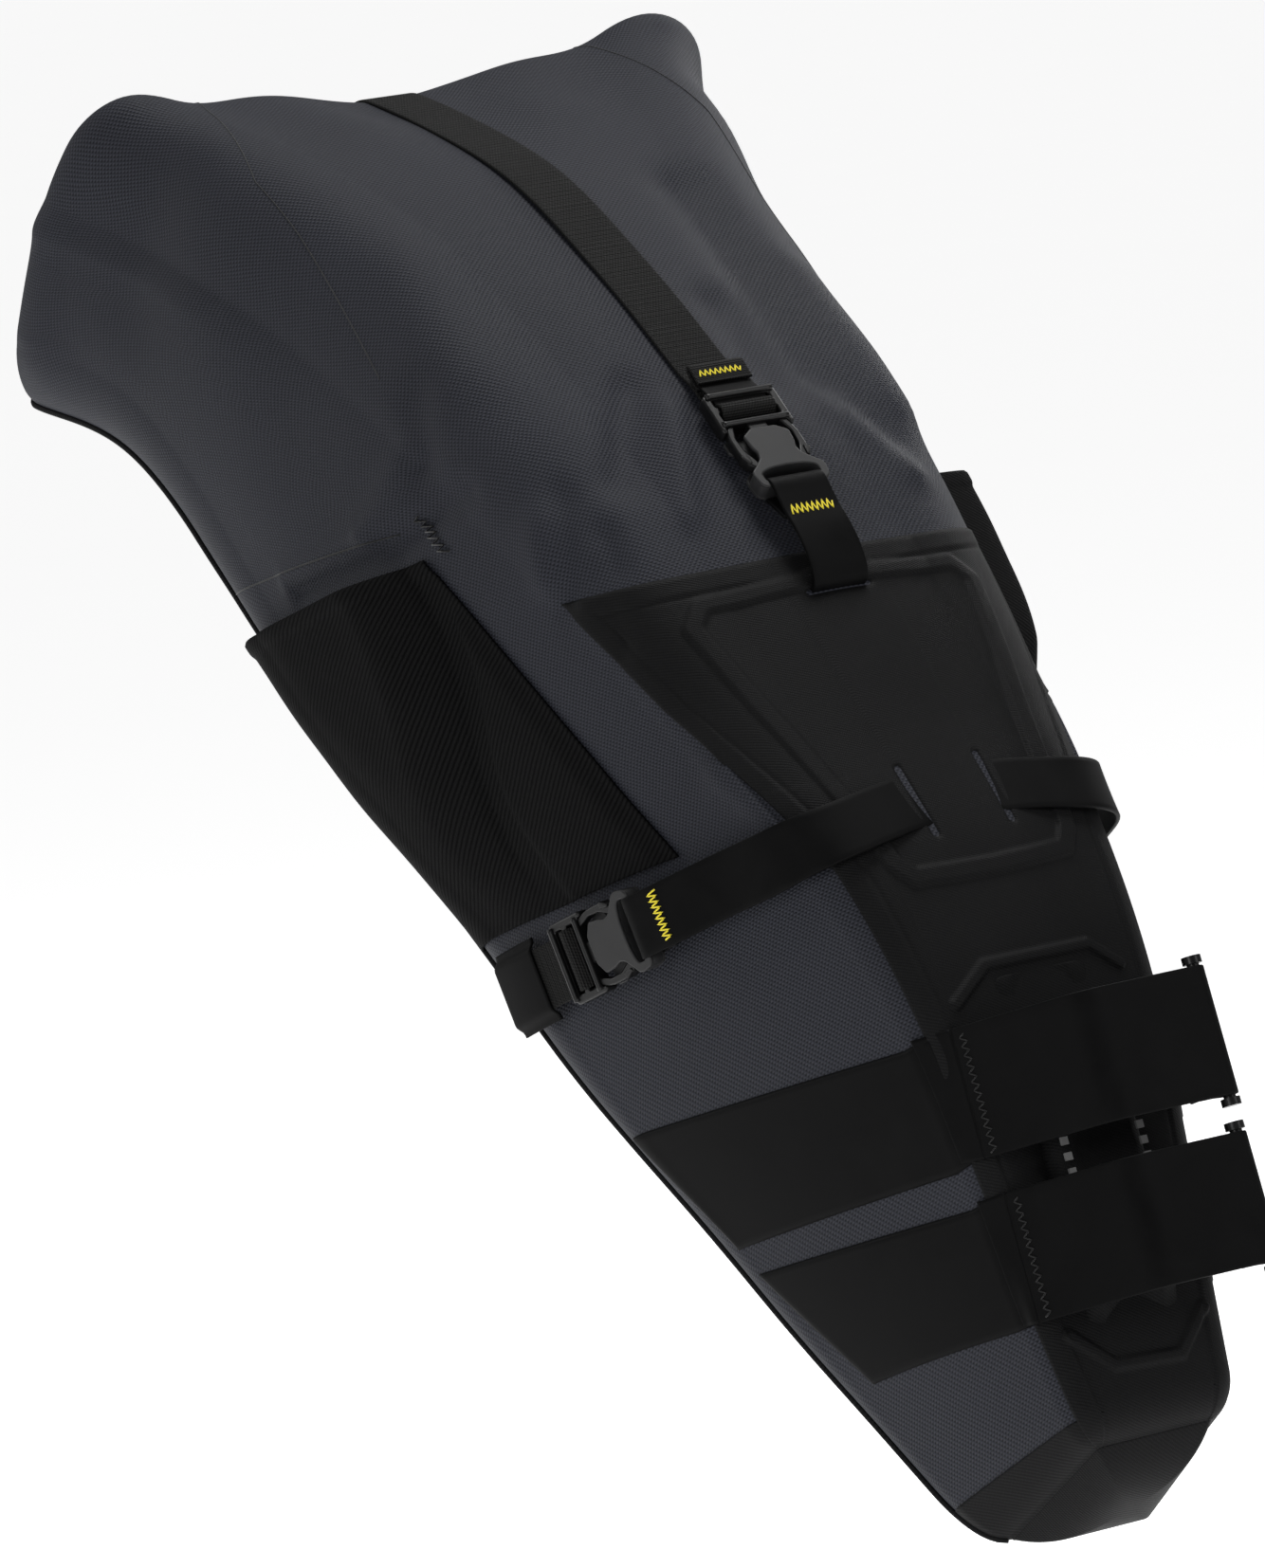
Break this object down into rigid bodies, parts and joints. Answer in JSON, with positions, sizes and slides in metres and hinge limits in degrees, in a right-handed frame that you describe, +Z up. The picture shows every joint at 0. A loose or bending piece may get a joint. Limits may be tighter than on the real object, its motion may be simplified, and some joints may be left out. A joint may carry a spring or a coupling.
{
  "type": "saddle bag",
  "caption": "Tapered welded roll-top bag that straps to a seatpost and hangs from the saddle rails, with side pockets and a compression strap.",
  "frame": {"origin": "on the seatpost's centre line, midway between the two seatpost straps", "axes": "+X forwards to the nose, +Y to the rider's left, +Z up with the seatpost leaning back 17 degrees"},
  "size_m": [0.6069, 0.2804, 0.567],
  "materials": {
    "navy_fabric": "ripstop laminate, matt",
    "coated_fabric": "coated twill, low sheen",
    "strap_fabric": "smooth coated strap fabric, satin",
    "stretch_fabric": "ribbed stretch fabric, matt",
    "webbing": "woven webbing, matt",
    "moulded_plastic": "moulded acetal, satin",
    "sheet_plastic": "plain sheet",
    "grip_rubber": "ribbed"
  },
  "bodies": {
    "bag": {"saddle_panel": "coated_fabric", "top_panel": "navy_fabric", "side_panel_right": "navy_fabric", "side_panel_left": "navy_fabric", "base_panel": "navy_fabric", "nose_cap": "coated_fabric", "saddle_frame": "coated_fabric", "crest_ridge": "coated_fabric", "nose_ridge": "coated_fabric", "front_stiffener": "sheet_plastic", "base_stiffener": "sheet_plastic", "base_piping_right": "coated_fabric", "base_piping_left": "coated_fabric", "seatpost_pad": "coated_fabric", "grip_strips": "grip_rubber", "strap_patch_upper_right": "strap_fabric", "strap_patch_upper_left": "strap_fabric", "strap_patch_lower_right": "strap_fabric", "strap_patch_lower_left": "strap_fabric", "hook_tab_upper": "strap_fabric", "hook_tab_lower": "strap_fabric", "rail_strap_right": "strap_fabric", "rail_strap_left": "strap_fabric", "rail_socket_right": "moulded_plastic", "rail_socket_left": "moulded_plastic", "rail_webbing_right": "webbing", "rail_webbing_left": "webbing", "webbing_sleeve_right": "strap_fabric", "webbing_sleeve_left": "strap_fabric", "centre_strap": "strap_fabric", "centre_socket": "moulded_plastic", "centre_webbing": "webbing", "stretch_pocket_right": "stretch_fabric", "stretch_pocket_left": "stretch_fabric"},
    "seatpost_strap_upper": {"seatpost_strap_upper": "strap_fabric", "strap_hook_upper": "moulded_plastic"},
    "seatpost_strap_lower": {"seatpost_strap_lower": "strap_fabric", "strap_hook_lower": "moulded_plastic"},
    "rail_right_tongue": {"rail_lock_right": "moulded_plastic"},
    "rail_right_prong_a": {"rail_right_prong_a": "moulded_plastic"},
    "rail_right_prong_b": {"rail_right_prong_b": "moulded_plastic"},
    "rail_left_tongue": {"rail_lock_left": "moulded_plastic"},
    "rail_left_prong_a": {"rail_left_prong_a": "moulded_plastic"},
    "rail_left_prong_b": {"rail_left_prong_b": "moulded_plastic"},
    "centre_tongue": {"centre_lock": "moulded_plastic", "centre_tab": "webbing"},
    "centre_prong_a": {"centre_prong_a": "moulded_plastic"},
    "centre_prong_b": {"centre_prong_b": "moulded_plastic"},
    "closure": {"closure_flap": "navy_fabric", "closure_roll": "navy_fabric", "closure_stiffener": "sheet_plastic", "closure_webbing": "webbing", "closure_strap_right": "webbing", "closure_strap_left": "webbing", "closure_socket": "moulded_plastic"},
    "closure_tongue": {"closure_lock": "moulded_plastic"},
    "closure_prong_a": {"closure_prong_a": "moulded_plastic"},
    "closure_prong_b": {"closure_prong_b": "moulded_plastic"}
  },
  "joints": [
    {"name": "open_seatpost_strap_upper", "type": "hinge", "parent": "bag", "child": "seatpost_strap_upper", "pos_m": [-0.02848, -0.044, 0.02475], "axis": [0.2924, 0, -0.9563], "range_deg": [0, 95]},
    {"name": "open_seatpost_strap_lower", "type": "hinge", "parent": "bag", "child": "seatpost_strap_lower", "pos_m": [-0.00977, -0.04, -0.03645], "axis": [0.2924, 0, -0.9563], "range_deg": [0, 95]},
    {"name": "unclip_rail_right", "type": "slide", "parent": "bag", "child": "rail_right_tongue", "axis": [-0.9252, -0.1737, -0.3374], "range_m": [0, 0.021]},
    {"name": "squeeze_rail_right_prong_a", "type": "hinge", "parent": "rail_right_tongue", "child": "rail_right_prong_a", "pos_m": [-0.19015, -0.10714, 0.08964], "axis": [-0.1972, 0.9797, 0.0364], "range_deg": [0, 6], "stiffness_Nm_per_rad": 0.4},
    {"name": "squeeze_rail_right_prong_b", "type": "hinge", "parent": "rail_right_tongue", "child": "rail_right_prong_b", "pos_m": [-0.18263, -0.10481, 0.06782], "axis": [0.1972, -0.9797, -0.0364], "range_deg": [0, 6], "stiffness_Nm_per_rad": 0.4},
    {"name": "unclip_rail_left", "type": "slide", "parent": "bag", "child": "rail_left_tongue", "axis": [-0.9252, 0.1737, -0.3374], "range_m": [0, 0.021]},
    {"name": "squeeze_rail_left_prong_a", "type": "hinge", "parent": "rail_left_tongue", "child": "rail_left_prong_a", "pos_m": [-0.19015, 0.10714, 0.08964], "axis": [0.1972, 0.9797, -0.0364], "range_deg": [0, 6], "stiffness_Nm_per_rad": 0.4},
    {"name": "squeeze_rail_left_prong_b", "type": "hinge", "parent": "rail_left_tongue", "child": "rail_left_prong_b", "pos_m": [-0.18263, 0.10481, 0.06782], "axis": [-0.1972, -0.9797, 0.0364], "range_deg": [0, 6], "stiffness_Nm_per_rad": 0.4},
    {"name": "unclip_centre", "type": "slide", "parent": "bag", "child": "centre_tongue", "axis": [-0.7217, 0, 0.6923], "range_m": [0, 0.021]},
    {"name": "squeeze_centre_prong_a", "type": "hinge", "parent": "centre_tongue", "child": "centre_prong_a", "pos_m": [-0.19836, 0.0116, 0.26632], "axis": [-0.6923, 0, -0.7217], "range_deg": [0, 6], "stiffness_Nm_per_rad": 0.4},
    {"name": "squeeze_centre_prong_b", "type": "hinge", "parent": "centre_tongue", "child": "centre_prong_b", "pos_m": [-0.19836, -0.0116, 0.26632], "axis": [0.6923, 0, 0.7217], "range_deg": [0, 6], "stiffness_Nm_per_rad": 0.4},
    {"name": "fold_back_closure", "type": "hinge", "parent": "bag", "child": "closure", "pos_m": [-0.47017, 0, 0.4081], "axis": [0, 1, 0], "range_deg": [0, 100]},
    {"name": "unclip_closure", "type": "slide", "parent": "closure", "child": "closure_tongue", "axis": [0, -1, 0], "range_m": [0, 0.021]},
    {"name": "squeeze_closure_prong_a", "type": "hinge", "parent": "closure_tongue", "child": "closure_prong_a", "pos_m": [-0.55297, -0.0012, 0.33482], "axis": [-0.8496, 0, 0.5274], "range_deg": [0, 6], "stiffness_Nm_per_rad": 0.4},
    {"name": "squeeze_closure_prong_b", "type": "hinge", "parent": "closure_tongue", "child": "closure_prong_b", "pos_m": [-0.5652, -0.0012, 0.31511], "axis": [0.8496, 0, -0.5274], "range_deg": [0, 6], "stiffness_Nm_per_rad": 0.4}
  ],
  "couplings": [
    {"joint": "squeeze_rail_right_prong_b", "follows": "squeeze_rail_right_prong_a", "ratio": 1},
    {"joint": "squeeze_rail_left_prong_b", "follows": "squeeze_rail_left_prong_a", "ratio": 1},
    {"joint": "squeeze_centre_prong_b", "follows": "squeeze_centre_prong_a", "ratio": 1},
    {"joint": "squeeze_closure_prong_b", "follows": "squeeze_closure_prong_a", "ratio": 1}
  ]
}
